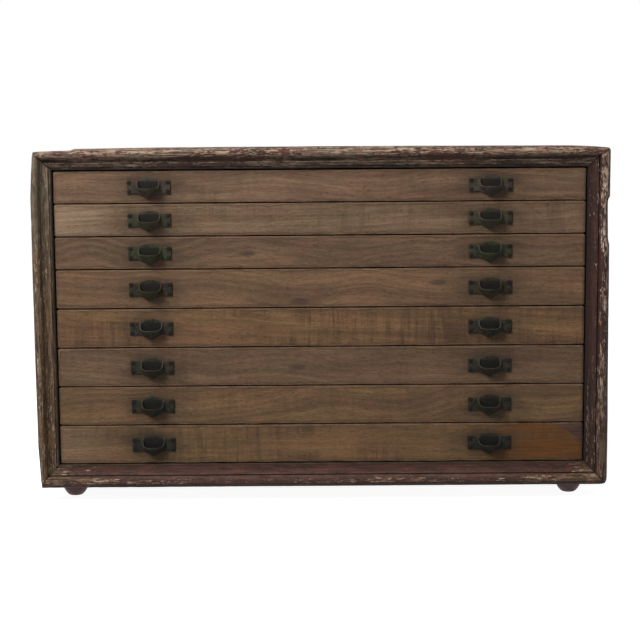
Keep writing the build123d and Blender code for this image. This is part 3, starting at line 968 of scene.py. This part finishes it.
def makeMember(node, look):
    _, topHigh = boxOf("frame_top")
    bottomLow, _ = boxOf("frame_bottom")
    halfX = boxOf("frame_right")[1][0]
    middleZ, halfZ = (topHigh[2] + bottomLow[2]) / 2, (topHigh[2] - bottomLow[2]) / 2
    rear = topHigh[1]
    upright = look["along"][2] != 0
    innerHalf = (halfZ if upright else halfX) - mouldingLook["width"]
    awayHalf = (halfX if upright else halfZ) - mouldingLook["width"]
    curve = bpy.data.curves.new(node + "_profile", "CURVE")
    curve.dimensions = "3D"
    spline = curve.splines.new("POLY")
    spline.points.add(len(profilePoints) - 1)
    for spot, (a, b) in zip(spline.points, profilePoints):
        spot.co = (a, b, 0, 1)
    spline.use_cyclic_u = True
    source = bpy.data.objects.new(node + "_profile", curve)
    link(source)
    modifier = source.modifiers.new("sweep", "NODES")
    modifier.node_group = moulding
    material = mouldingMaterial(node + "_paint", look)
    setInputs(modifier, **{
        "Half Length": innerHalf, "Stations": int(2 * innerHalf / mouldingLook["spacing"]),
        "Wear": look["wear"], "Seed": look["seed"], "Paint": material,
    })
    mesh = evaluatedMesh(source)
    bpy.data.objects.remove(source)
    along, out = Vector(look["along"]), Vector(look["out"])
    inner = out * awayHalf + Vector((0, rear, middleZ))
    place = Matrix((along, -out, Vector((0, 1, 0)))).transposed().to_4x4()
    place.translation = inner
    mesh.transform(place)
    across, run = readPoints(mesh, "across"), readPoints(mesh, "run")
    storeOnPoints(mesh, "mitre", innerHalf + across - np.abs(run))
    points = wornOutline(pointsOf(mesh), middleZ, halfX, halfZ)
    if look["filled"]:
        inQuirk = (across > mm(12.6)) & (across < mm(14.9))
        points[:, 1] = np.where(inQuirk, np.minimum(points[:, 1], rear - mm(12.6)), points[:, 1])
    setPoints(mesh, roundCorners(points, middleZ, halfX, halfZ, cornerRadii))
    piece = bpy.data.objects.new(node + "_moulding", mesh)
    link(piece)
    if not mesh.materials:
        mesh.materials.append(material)
    smoothShading(piece, 38)
    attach(piece, "cabinet")
    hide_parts(node)


def wornOutline(points, middleZ, halfX, halfZ):
    # wears the frame in from outside; both members at a mitre lose the same
    width, kept = mouldingLook["width"], mm(14)
    spots = points.copy()
    for side, sign, axis, other, far in (
        ("top", 1, 2, 0, middleZ + halfZ), ("left", -1, 0, 2, -halfX), ("right", 1, 0, 2, halfX),
    ):
        places, losses = zip(*outlineLosses[side])
        lost = mm(1) * np.interp(spots[:, other], places, losses)
        away = (far - spots[:, axis]) * sign
        share = np.clip((width - kept - away) / (width - kept), 0, 1)
        points[:, axis] -= sign * lost * share
    return points


for node, look in mouldingMembers.items():
    makeMember(node, look)
print("moulded frame made")


# iron finger cups

pullLook = dict(
    plateWidth=mm(56), plateHeight=mm(18), plateThickness=mm(1.8), bedded=mm(0.7), crestWidth=mm(30),
    crestRise=mm(3.5), earFlare=mm(0.8), earStep=mm(3), columns=26, rows=14,
    toeWidth=mm(28), toeDrop=mm(5.5), radius=mm(15), wall=mm(1.9), tipRadius=mm(2.2), rimDip=mm(1.5),
    voxel=mm(0.65), pinInset=mm(3.4), pinRise=mm(5.6),
)


def plateOutline():
    look = pullLook
    half, crest, toe = look["plateWidth"] / 2, look["crestWidth"] / 2, look["toeWidth"] / 2
    ear, step = look["plateHeight"] / 2, look["earStep"]
    waist = ear - look["earFlare"]
    points = [(-half, -ear), (-toe - step, -waist), (-toe, -waist), (0, -ear - look["toeDrop"])]
    points += [(toe, -waist), (toe + step, -waist), (half, -ear), (half, ear), (crest + step, waist)]
    for k in range(13):
        share = k / 12
        x = crest - 2 * crest * share
        points.append((x, waist + (look["crestRise"] + look["earFlare"]) * (1 - (2 * share - 1) ** 2)))
    points += [(-crest - step, waist), (-half, ear)]
    return points


def rimHeight(reach):
    # height of the rim over the plate's middle, for a point this far in front of the plate
    look = pullLook
    top, dip, radius = look["plateHeight"] / 2, look["rimDip"], look["radius"]
    ax, az, bx, bz, cx, cz = -radius, -dip, -radius / 2, 0.0, 0.0, top
    d = 2 * (ax * (bz - cz) + bx * (cz - az) + cx * (az - bz))
    ux = ((ax**2 + az**2) * (bz - cz) + (bx**2 + bz**2) * (cz - az) + (cx**2 + cz**2) * (az - bz)) / d
    uz = ((ax**2 + az**2) * (cx - bx) + (bx**2 + bz**2) * (ax - cx) + (cx**2 + cz**2) * (bx - ax)) / d
    arcRadius = math.hypot(ax - ux, az - uz)
    return uz - math.sqrt(max(arcRadius**2 - (-reach - ux) ** 2, 0.0))


def cupRadiusAt(z, radius, tipZ, tipRadius):
    # the cup's wall: straight near the rim, then drawn in to a soft toe
    dip = -pullLook["rimDip"]
    if z >= dip:
        return radius
    share = (z - tipZ) / (dip - tipZ)
    return tipRadius + (radius - tipRadius) * (0.62 * share + 0.38 * math.sin(share * math.pi / 2))


def cupPoints():
    # (points, faces) of one half cup, with its back plane let into the plate
    look = pullLook
    columns, rows = look["columns"], look["rows"]
    tipZ = -look["plateHeight"] / 2 - look["toeDrop"]
    points, faces = [], []

    def wall(radius, tipRadius, floorZ):
        grid = []
        for column in range(columns + 3):
            turn = math.pi * min(max((column - 1) / columns, 0), 1) - math.pi / 2
            back = mm(1) if column in (0, columns + 2) else 0.0
            line = []
            rim = rimHeight(look["radius"] * math.cos(turn))
            for row in range(rows + 1):
                z = rim + (floorZ - rim) * row / rows
                reach = cupRadiusAt(z, radius, floorZ, tipRadius) if row < rows else 0.0
                line.append(len(points))
                y = back - look["plateThickness"] - reach * math.cos(turn)
                points.append((reach * math.sin(turn), y, z))
            grid.append(line)
        return grid

    outer = wall(look["radius"], look["tipRadius"], tipZ)
    inner = wall(look["radius"] - look["wall"], look["tipRadius"] * 0.5, tipZ + 2.2 * look["wall"])
    last = len(outer) - 1
    for c in range(last):
        for r in range(rows):
            faces.append((outer[c][r], outer[c][r + 1], outer[c + 1][r + 1], outer[c + 1][r]))
            faces.append((inner[c][r], inner[c + 1][r], inner[c + 1][r + 1], inner[c][r + 1]))
        faces.append((outer[c][0], outer[c + 1][0], inner[c + 1][0], inner[c][0]))
    for r in range(rows):
        faces.append((outer[0][r], inner[0][r], inner[0][r + 1], outer[0][r + 1]))
        faces.append((outer[last][r], outer[last][r + 1], inner[last][r + 1], inner[last][r]))
    return points, faces


def makePull(name, material):
    # one finger cup round the origin: plate and cup fused into one casting
    outline = plateOutline()
    points = [(x, pullLook["bedded"], z) for x, z in outline]
    points += [(x, -pullLook["plateThickness"], z) for x, z in outline]
    size = len(outline)
    faces = [tuple(range(size)), tuple(reversed(range(size, 2 * size)))]
    faces += [(i, i + size, (i + 1) % size + size, (i + 1) % size) for i in range(size)]
    cup, cupFaces = cupPoints()
    faces += [tuple(i + len(points) for i in face) for face in cupFaces]
    piece = pieceFrom(name, points + cup, faces, material)
    closeSeams(piece.data, turnOutwards=True)
    fuse = piece.modifiers.new("fuse", "REMESH")
    fuse.mode = "VOXEL"
    fuse.voxel_size = pullLook["voxel"]
    soften = piece.modifiers.new("soften", "SMOOTH")
    soften.factor, soften.iterations = 0.5, 3
    return applied(piece)


def ironMaterial(name, seed, skinTones, patinaStrength, rustStrength, wearAndHighlightStrength=0.4):
    material, place = startMaterial(name)
    rot = useGroup(ironCorrosion, Vector=place, Seed=seed)
    skin = ramp(noiseOf(place, (70, 70, 70), 4.0), 0.38, 0.62)
    colour = blend(skin, *skinTones)
    colour = blend(rot["Rust"] * rustStrength, colour, (44, 32, 22))
    colour = blend(rot["Patina"] * patinaStrength, colour, (50, 54, 36))
    # lighter near the rim: partly the rim worn bright by fingers, partly a painted highlight where the rim
    # catches the light
    rimWearAndHighlight = attributeOf("rimWearAndHighlight")
    rubbed = rimWearAndHighlight * ramp(rot["Pits"], 0.4, 0.6, 0.3, 1.0)
    colour = blend(rubbed * wearAndHighlightStrength, colour, (84, 84, 76))
    # painted shade: near black inside the cup and round the pins
    cupAndPinShade = attributeOf("cupAndPinShade")
    colour = blend(cupAndPinShade * 0.8, colour, (11, 9, 7))
    colour = dusted(colour, place, 0.1, (100, 94, 80))
    roughness = rubbed * -0.2 + 0.75
    metallic = ramp(rubbed, 0.0, 0.8, 0.05, 0.4)
    finishMaterial(colour, roughness, rot["Pits"], 0.0008, 0.6, 0.15, metallic)
    return material


def rimCloseness(points):
    # how near each point is to the cup's rim, 0 to 1
    look = pullLook
    rim = []
    for k in range(41):
        turn = math.pi * k / 40 - math.pi / 2
        reach = look["radius"] - look["wall"] / 2
        height = rimHeight(look["radius"] * math.cos(turn))
        rim.append((reach * math.sin(turn), -look["plateThickness"] - reach * math.cos(turn), height))
    rim = np.array(rim)
    away = np.min(np.linalg.norm(points[:, None, :] - rim[None, :, :], axis=2), axis=1)
    return np.clip(1 - away / mm(2.6), 0, 1)


# per row: the iron's two skin tones, patina, rust, and how much the rim is lightened by its wear and a
# painted highlight, stronger on the lower rows; the skin tones darken row by row down the cabinet, painted
# shade where less light reaches the lower cups
pullNames = ("skinTones", "patinaStrength", "rustStrength", "wearAndHighlightStrength")
pullFinish = {number: dict(zip(pullNames, row)) for number, row in enumerate((
    (((44, 39, 33), (60, 53, 45)), 0.45, 0.45, 0.12),
    (((38, 35, 27), (54, 50, 39)), 0.6, 0.45, 0.15),
    (((28, 29, 19), (46, 48, 33)), 0.7, 0.45, 0.12),
    (((23, 19, 13), (40, 34, 24)), 0.55, 0.65, 0.15),
    (((19, 17, 13), (34, 31, 25)), 0.6, 0.45, 0.5),
    (((20, 18, 14), (36, 33, 28)), 0.4, 0.45, 0.35),
    (((15, 14, 12), (27, 26, 22)), 0.3, 0.7, 0.25),
    (((13, 13, 11), (24, 24, 20)), 0.35, 0.35, 0.3),
), 1)}


def cupAndPinShadeMask(points):
    # where painted shade goes: 1 well inside the cup and round the pins, 0 on the rest
    look = pullLook
    tipZ = -look["plateHeight"] / 2 - look["toeDrop"]
    reach = np.clip(-points[:, 1] - look["plateThickness"], 0, look["radius"])
    away = np.hypot(points[:, 0], reach)
    wall = np.array([cupRadiusAt(z, look["radius"], tipZ, look["tipRadius"]) for z in points[:, 2]])
    rim = np.array([rimHeight(r) for r in reach])
    inside = np.clip((wall - look["wall"] * 0.6 - away) / mm(1), 0, 1)
    inside = inside * np.clip((rim - points[:, 2]) / mm(2), 0, 1)
    pinX, pinZ = look["plateWidth"] / 2 - look["pinInset"], look["pinRise"]
    fromPin = np.hypot(np.abs(points[:, 0]) - pinX, np.abs(points[:, 2]) - pinZ)
    return np.maximum(inside, np.clip((mm(3.6) - fromPin) / mm(1.2), 0, 1))


plainPull = makePull("plain_pull", None)
plainPoints = pointsOf(plainPull.data)
plainFaces = [tuple(face.vertices) for face in plainPull.data.polygons]
plainRimCloseness = rimCloseness(plainPoints)
plainCupAndPinShade = cupAndPinShadeMask(plainPoints)
bpy.data.objects.remove(plainPull)
print("finger cup cast:", len(plainFaces), "faces")


def pullPlaces(number):
    _, high = boxOf(f"drawer_{number}_pulls")
    plateTop = high[2] - pullLook["crestRise"]
    level = plateTop - pullLook["plateHeight"] / 2
    return [Vector((sign * pullOffset, high[1], level)) for sign in (-1, 1)]


def makePulls(number):
    points, faces = [], []
    for side, place in enumerate(pullPlaces(number)):
        seed = number * 2 + side
        uneven = 1 + 0.012 * latticeNoise(np.array([[seed * 3.1, 0.5, 0.5]]), (1, 1, 1), 5)[0]
        own = plainPoints * np.array([min(uneven, 1.0), 1.0, min(uneven, 1.0)])
        cast = latticeNoise(own + seed, (220, 220, 220), seed)
        own = own * (1 - 0.006 * np.clip(cast, 0, 1))[:, None]
        faces += [tuple(i + side * len(plainPoints) for i in face) for face in plainFaces]
        points.append(own + np.array(place))
    material = ironMaterial(f"iron{number}", number * 1.7, **pullFinish[number])
    piece = pieceFrom(f"drawer_{number}_finger_cups", np.vstack(points), faces, material)
    # near the rim: its wear and a painted highlight
    storeOnPoints(piece.data, "rimWearAndHighlight", np.tile(plainRimCloseness, 2))
    # painted shade in the cup and round the pins
    storeOnPoints(piece.data, "cupAndPinShade", np.tile(plainCupAndPinShade, 2))
    smoothShading(piece, 60)
    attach(piece, f"drawer_{number}")
    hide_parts(f"drawer_{number}_pulls")


for number in drawerNumbers:
    makePulls(number)
print("finger cups placed")


# pins and nails: one Geometry Nodes tree sets a domed head on each point

def headTree():
    given = startGroup("fastenerHeads", {
        "Points": "Geometry", "Radius": "Float", "Dome": "Float", "Vary": "Float", "Facing": "Vector",
        "Seed": "Int", "Metal": "Material",
    }, "GeometryNodeTree")
    ball = outOf("GeometryNodeMeshUVSphere", {"Segments": 12, "Rings": 6, "Radius": given["Radius"]})
    spread = {2: 1.0 - given["Vary"], 3: 1.0, "Seed": given["Seed"]}
    size = outOf("FunctionNodeRandomValue", spread, 1, data_type="FLOAT")
    turn = outOf("FunctionNodeAlignRotationToVector", {"Vector": given["Facing"]}, axis="Z")
    heads = outOf("GeometryNodeInstanceOnPoints", {
        "Points": given["Points"], "Instance": ball, "Rotation": turn,
        "Scale": fromXyz(size, size, given["Dome"]),
    })
    real = outOf("GeometryNodeRealizeInstances", {"Geometry": heads})
    metal = outOf("GeometryNodeSetMaterial", {"Geometry": real, "Material": given["Metal"]})
    return finishGroup("Geometry", Heads=metal)


headsOnPoints = headTree()


def makeHeads(name, places, facing, radius, dome, vary, seed, material, body):
    source = pieceFrom(name + "_points", places, [])
    modifier = source.modifiers.new("heads", "NODES")
    modifier.node_group = headsOnPoints
    setInputs(modifier, **{
        "Radius": radius, "Dome": dome, "Vary": vary, "Facing": facing, "Seed": seed, "Metal": material,
    })
    mesh = evaluatedMesh(source)
    bpy.data.objects.remove(source)
    piece = bpy.data.objects.new(name, mesh)
    link(piece)
    smoothShading(piece, 60)
    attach(piece, body)


# the pin heads are coloured near black, painted shade for the dark holes they sit in
pinIronPaintedShade = ironMaterial("pinIronPaintedShade", 31.0, ((8, 7, 6), (16, 14, 12)), 0.05, 0.3)
nailIron = ironMaterial("nailIron", 37.0, ((40, 34, 30), (58, 48, 40)), 0.05, 0.9)


def pinPlaces(number):
    look = pullLook
    spots = []
    for place in pullPlaces(number):
        for sx in (-1, 1):
            for sz in (-1, 1):
                x = sx * (look["plateWidth"] / 2 - look["pinInset"])
                spots.append((place.x + x, place.y - look["plateThickness"], place.z + sz * look["pinRise"]))
    return spots


for number in drawerNumbers:
    makeHeads(
        f"drawer_{number}_pins", pinPlaces(number), (0, -1, 0), mm(1.9), 0.45, 0.2, number,
        pinIronPaintedShade, f"drawer_{number}",
    )


nailLook = dict(fromEnd=mm(30), fromEdge=mm(4.5), sunk=mm(0.4), sideCount=7, backCount=9, vary=0.25)


def caseNails():
    # through the top and bottom boards into the sides, and through the back boards into the case
    look = nailLook
    sideLow, sideHigh = boxOf("right_side")
    topLow, topHigh = boxOf("top_board")
    middleX = (sideLow[0] + sideHigh[0]) / 2
    spanY = np.linspace(topLow[1] + look["fromEnd"], topHigh[1] - look["fromEnd"], look["sideCount"])
    for name, level, facing, seed in (
        ("top_nails", topHigh[2], 1, 51), ("bottom_nails", boxOf("bottom_board")[0][2], -1, 52),
    ):
        places = [(sx * middleX, y, level) for sx in (-1, 1) for y in spanY]
        makeHeads(name, places, (0, 0, facing), mm(2.2), 0.16, look["vary"], seed, nailIron, "cabinet")
    low, high = boxOf("back_boards")
    edgeX, rear = high[0] - look["fromEdge"], high[1] - look["sunk"]
    spanZ = np.linspace(low[2] + look["fromEnd"], high[2] - look["fromEnd"], look["backCount"])
    spanX = np.linspace(-edgeX, edgeX, look["backCount"])[1:-1]
    edgesZ = (low[2] + look["fromEdge"], high[2] - look["fromEdge"])
    back = [(sx * edgeX, rear, z) for sx in (-1, 1) for z in spanZ]
    back += [(x, rear, z) for x in spanX for z in edgesZ]
    makeHeads("back_nails", back, (0, 1, 0), mm(1.9), 0.2, look["vary"], 53, nailIron, "cabinet")


caseNails()
print("pins and nails set")


# turned feet

footLook = dict(segments=40, widest=mm(17), outline=[  # radius and height in mm, from the sole up
    (0, 0), (6, 0), (8.4, 0.25), (9.6, 0.9), (11.2, 2.4), (13.2, 4.8), (15.2, 8), (16.5, 11.5), (17, 15),
    (16.8, 18), (15.9, 20.6), (14.6, 22.4), (13.4, 23.3), (12.6, 23.7), (12.6, 24.3), (13.4, 24.8),
    (13.6, 26), (13.4, 27), (0, 27),
])


def footMaterial():
    material, place = startMaterial("footPaint", (0, 90, 0))
    grain = useGroup(woodGrain, Vector=place, Seed=4.4, Figure=0.2)
    wood = blend(grain["Streak"], (112, 86, 62), (66, 48, 36))
    flake = useGroup(paintFlake, Vector=place, Cover=0.9, Undercoat=0.3, Seed=2.0)
    colour = blend(flake["Under"], wood, (120, 96, 70))
    colour = blend(flake["Top"], colour, blend(grain["Tone"], (62, 30, 26), (86, 48, 40)))
    scuff = ramp(noiseOf(place, (70, 70, 70), 4.0), 0.52, 0.68, 0.0, 0.5)
    colour = blend(scuff, colour, (34, 24, 20))
    colour = dusted(colour, place, 0.4, (140, 130, 116))
    roughness = scuff * 0.3 + 0.5
    finishMaterial(colour, roughness, flake["Height"], 0.0004, 0.5)
    return material


def makeFeet():
    low, high = boxOf("feet")
    widest, outline, size = (footLook[k] for k in ("widest", "outline", "segments"))
    material = footMaterial()
    centres = [(sx * (high[0] - widest), y) for y in (low[1] + widest, high[1] - widest) for sx in (-1, 1)]
    points, middles, faces = [], [], []
    rows = len(outline) - 2
    for cx, cy in centres:
        first = len(points) + 1
        points.append((cx, cy, 0.0))
        for radius, height in outline[1:-1]:
            for k in range(size):
                turn, reach = 2 * math.pi * k / size, mm(radius)
                points.append((cx + reach * math.cos(turn), cy + reach * math.sin(turn), mm(height)))
        points.append((cx, cy, mm(outline[-1][1])))
        top = first + (rows - 1) * size
        for k in range(size):
            k2 = (k + 1) % size
            faces.append((first - 1, first + k2, first + k))
            for a in range(first, top, size):
                faces.append((a + k, a + k2, a + size + k2, a + size + k))
            faces.append((top + k, top + k2, len(points) - 1))
        middles += [(cx, cy)] * (len(points) - first + 1)
    spots, middles = np.array(points), np.array(middles)
    shrink = 1 - 0.03 * np.clip(lumps(spots, (90, 90, 90), (260, 260, 260), 17), 0, 1)
    spots[:, :2] = middles + (spots[:, :2] - middles) * shrink[:, None]
    piece = pieceFrom("turned_feet", spots, faces, material)
    smoothShading(piece, 45)
    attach(piece, "cabinet")
    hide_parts("feet")


makeFeet()
print("feet turned")


# inside the cabinet: the CAD pieces keep their shape and get bare wood

trayLook = {  # turn of the grain, pale and dark wood, seed, figure, dust
    "sides": ((0, 0, 90), (150, 122, 92), (98, 74, 52), 41.0, 0.3, 0.35),
    "back": ((0, 0, 0), (150, 122, 92), (98, 74, 52), 43.0, 0.3, 0.35),
    "bottom": ((0, 0, 0), (140, 110, 80), (90, 66, 46), 47.0, 0.5, 0.5),
    "partitions": ((0, 0, 90), (156, 128, 98), (104, 80, 58), 53.0, 0.2, 0.35),
}


def dressInside():
    rails = bareWood("runners", (0, 0, 90), (148, 116, 82), (90, 66, 44), 59.0, 0.2, 0.1, 0.4)
    chosen = {"runners_left": rails, "runners_right": rails}
    for part, look in trayLook.items():
        material = bareWood("tray_" + part, *look)
        chosen.update({f"drawer_{number}_{part}": material for number in drawerNumbers})
    for name, material in chosen.items():
        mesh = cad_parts[name].data
        if not mesh.materials:
            mesh.materials.append(material)
        for i in range(len(mesh.materials)):
            mesh.materials[i] = material


dressInside()
print("inside dressed")


# floor, light and camera

def seenDirectly():
    # 1 for what the camera sees, straight or by way of a mirror or glass
    path = signalsOf(addNode("ShaderNodeLightPath"))
    seen = maths("MAXIMUM", path["Is Camera Ray"], path["Is Glossy Ray"])
    return maths("MAXIMUM", seen, path["Is Transmission Ray"])


studioLook = dict(floorHalf=30, floorShade=0.45, floorGlow=0.93, softLight=0.22, white=(1, 1, 1, 1))


def makeFloor():
    look = studioLook
    half, shade = look["floorHalf"], look["floorShade"]
    material = bpy.data.materials.new("paleFloor")
    material.use_nodes = True
    bench["tree"] = material.node_tree
    material.node_tree.nodes.clear()
    matte = outOf("ShaderNodeBsdfDiffuse", {"Color": (shade, shade, shade, 1.0)})
    glow = seenDirectly() * look["floorGlow"]
    glow = outOf("ShaderNodeEmission", {"Color": look["white"], "Strength": glow})
    both = outOf("ShaderNodeAddShader", {0: matte, 1: glow})
    addNode("ShaderNodeOutputMaterial", {"Surface": both})
    corners = [(-half, -half, 0), (half, -half, 0), (half, half, 0), (-half, half, 0)]
    pieceFrom("studio_floor", corners, [(0, 1, 2, 3)], material)


lampLook = dict(
    key=dict(place=(-1.35, -1.65, 2.1), aim=(0.0, -0.1, 0.24), power=102, size=1.0),
    fill=dict(place=(1.2, -2.8, 1.3), aim=(0.0, 0.0, 0.25), power=5, size=1.6),
)


def makeLights():
    for name, lamp in lampLook.items():
        light = bpy.data.lights.new(name, "AREA")
        light.shape, light.size, light.energy = "SQUARE", lamp["size"], lamp["power"]
        holder = bpy.data.objects.new(name, light)
        holder.location = lamp["place"]
        aim = Vector(lamp["aim"]) - Vector(lamp["place"])
        holder.rotation_euler = aim.to_track_quat("-Z", "Y").to_euler()
        link(holder)
    world = bpy.data.worlds.new("studio")
    bpy.context.scene.world = world
    world.use_nodes = True
    bench["tree"] = world.node_tree
    world.node_tree.nodes.clear()
    soft = outOf("ShaderNodeBackground", {"Color": studioLook["white"], "Strength": studioLook["softLight"]})
    white = outOf("ShaderNodeBackground", {"Color": studioLook["white"], "Strength": 1.0})
    both = outOf("ShaderNodeMixShader", {0: seenDirectly(), 1: soft, 2: white})
    addNode("ShaderNodeOutputWorld", {"Surface": both})


cameraLook = dict(place=(0.0040, -2.0091, 0.4422), yaw=-0.15, pitch=6.50, roll=-0.44, lens=78.75)


def makeCamera():
    look = cameraLook
    yaw, pitch, roll = (math.radians(look[k]) for k in ("yaw", "pitch", "roll"))
    forward = Vector((math.sin(yaw) * math.cos(pitch), math.cos(yaw) * math.cos(pitch), -math.sin(pitch)))
    level = Vector((math.cos(yaw), -math.sin(yaw), 0))
    upright = level.cross(forward)
    right = level * math.cos(roll) + upright * math.sin(roll)
    up = upright * math.cos(roll) - level * math.sin(roll)
    data = bpy.data.cameras.new("front_camera")
    data.sensor_width, data.lens = 36.0, look["lens"]
    data.clip_start, data.clip_end = 0.05, 100
    camera = bpy.data.objects.new("front_camera", data)
    turned = Matrix((right, up, -forward)).transposed().to_4x4()
    turned.translation = look["place"]
    camera.matrix_world = turned
    link(camera)
    bpy.context.scene.camera = camera


makeFloor()
makeLights()
makeCamera()
bpy.context.scene.view_settings.view_transform = "Standard"
print("studio ready")
